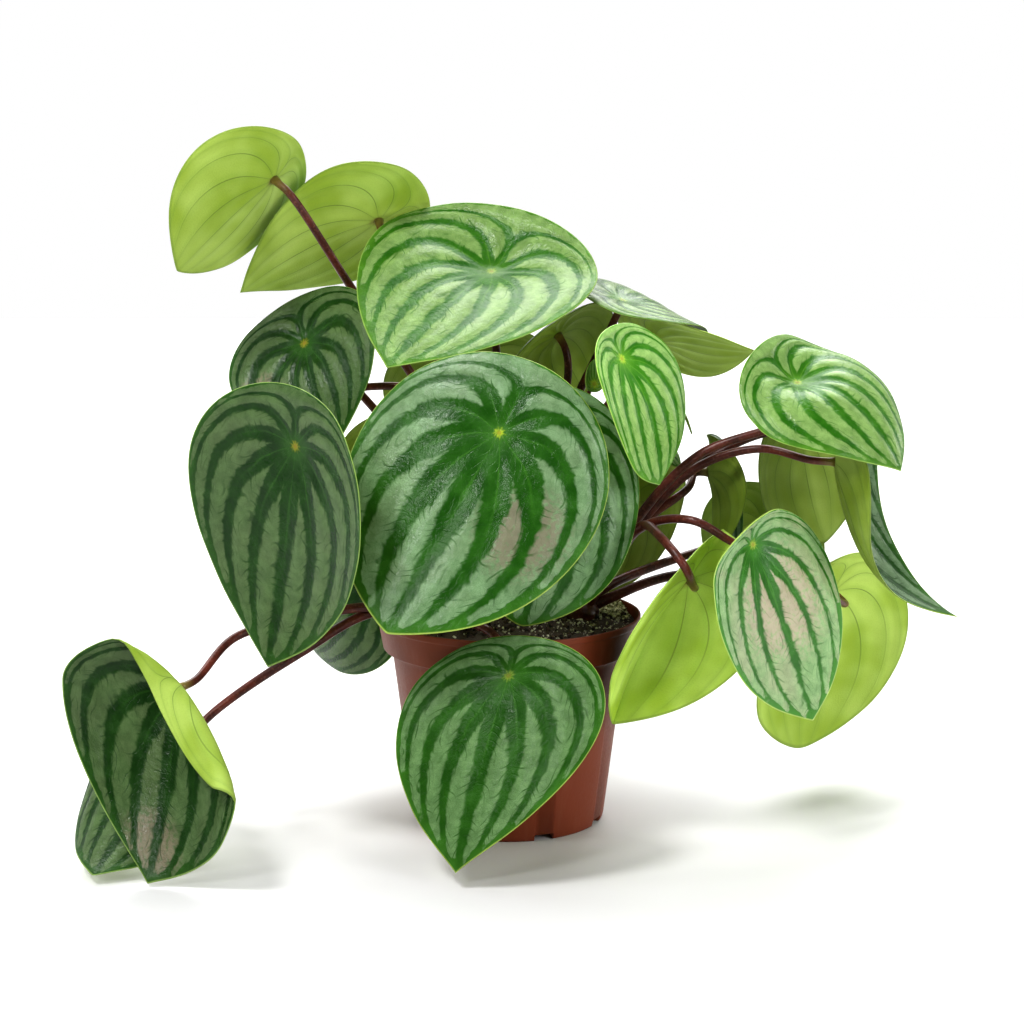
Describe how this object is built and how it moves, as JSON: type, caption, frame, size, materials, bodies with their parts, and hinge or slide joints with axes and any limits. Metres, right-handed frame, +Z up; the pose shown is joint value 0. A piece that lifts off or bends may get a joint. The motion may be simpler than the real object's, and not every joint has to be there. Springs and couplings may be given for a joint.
{
  "type": "potted peperomia",
  "caption": "House plant with round striped leaves on long red-brown stalks, standing in a small tapered plastic pot of soil.",
  "frame": {"origin": "centre of the pot's underside, on the surface that the pot stands on", "axes": "+Z up along the pot's axis; the plant's front, with the pale leaf that hangs over the rim, faces -Y; +X is its right side as seen from the front"},
  "size_m": [0.3892, 0.2355, 0.3128],
  "materials": {
    "pot_plastic": "satin",
    "soil": "matte",
    "stalk": "satin",
    "leaf": "satin"
  },
  "bodies": {
    "root": {"pot": "pot_plastic", "soil": "soil", "crown_left": "stalk", "crown_right": "stalk", "crown_back": "stalk", "leaf_top_left": "leaf", "leaf_top_left_behind": "leaf", "leaf_top": "leaf", "leaf_upper_left": "leaf", "leaf_front": "leaf", "leaf_left": "leaf", "leaf_behind_front": "leaf", "leaf_small_bright": "leaf", "leaf_upper_edge_on": "leaf", "leaf_upper_right_behind": "leaf", "leaf_centre_behind": "leaf", "leaf_right_top": "leaf", "leaf_right_folded": "leaf", "leaf_right_behind": "leaf", "leaf_right_narrow": "leaf", "leaf_right_front": "leaf", "leaf_right_low": "leaf", "leaf_right_low_behind": "leaf", "leaf_right_inner": "leaf", "leaf_floor_left": "leaf", "leaf_floor_left_behind": "leaf", "leaf_behind_rim": "leaf", "leaf_over_pot": "leaf", "leaf_left_inner": "leaf", "leaf_young_upper": "leaf", "leaf_young_lower": "leaf", "leaf_bud": "leaf", "leaf_back_upper": "leaf", "leaf_back_right": "leaf", "leaf_back_left": "leaf", "leaf_back_low": "leaf", "leaf_back_far_left": "leaf", "leaf_back_far_right": "leaf"}
  },
  "joints": []
}
